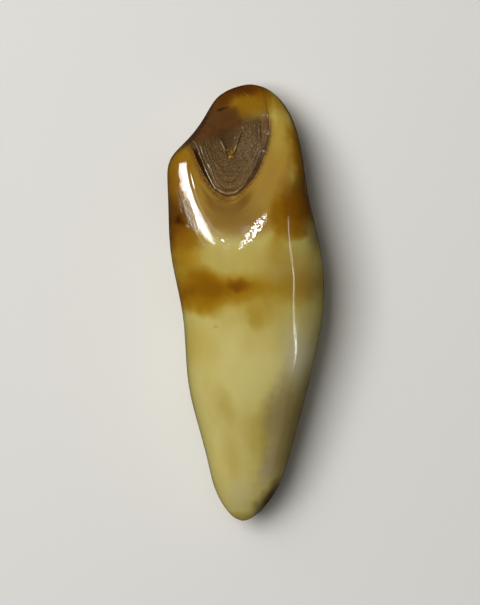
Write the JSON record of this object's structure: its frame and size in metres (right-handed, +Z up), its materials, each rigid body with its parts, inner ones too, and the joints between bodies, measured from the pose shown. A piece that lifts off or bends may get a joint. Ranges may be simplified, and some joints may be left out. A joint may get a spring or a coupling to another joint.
{
  "type": "walrus tooth",
  "caption": "Polished walrus cheek tooth lying on its back: tapering root, swollen neck and a crown worn away at a slant, baring the dark dentine core.",
  "frame": {"origin": "on the surface that the tooth rests on, under the middle of its box", "axes": "+Y along the tooth from the root to the crown, +Z up out of the worn face's side, +X to the right seen from above with the crown ahead"},
  "size_m": [0.025, 0.0699, 0.0196],
  "materials": {
    "tooth": "gloss"
  },
  "bodies": {
    "root": {"tooth": "tooth"}
  },
  "joints": []
}
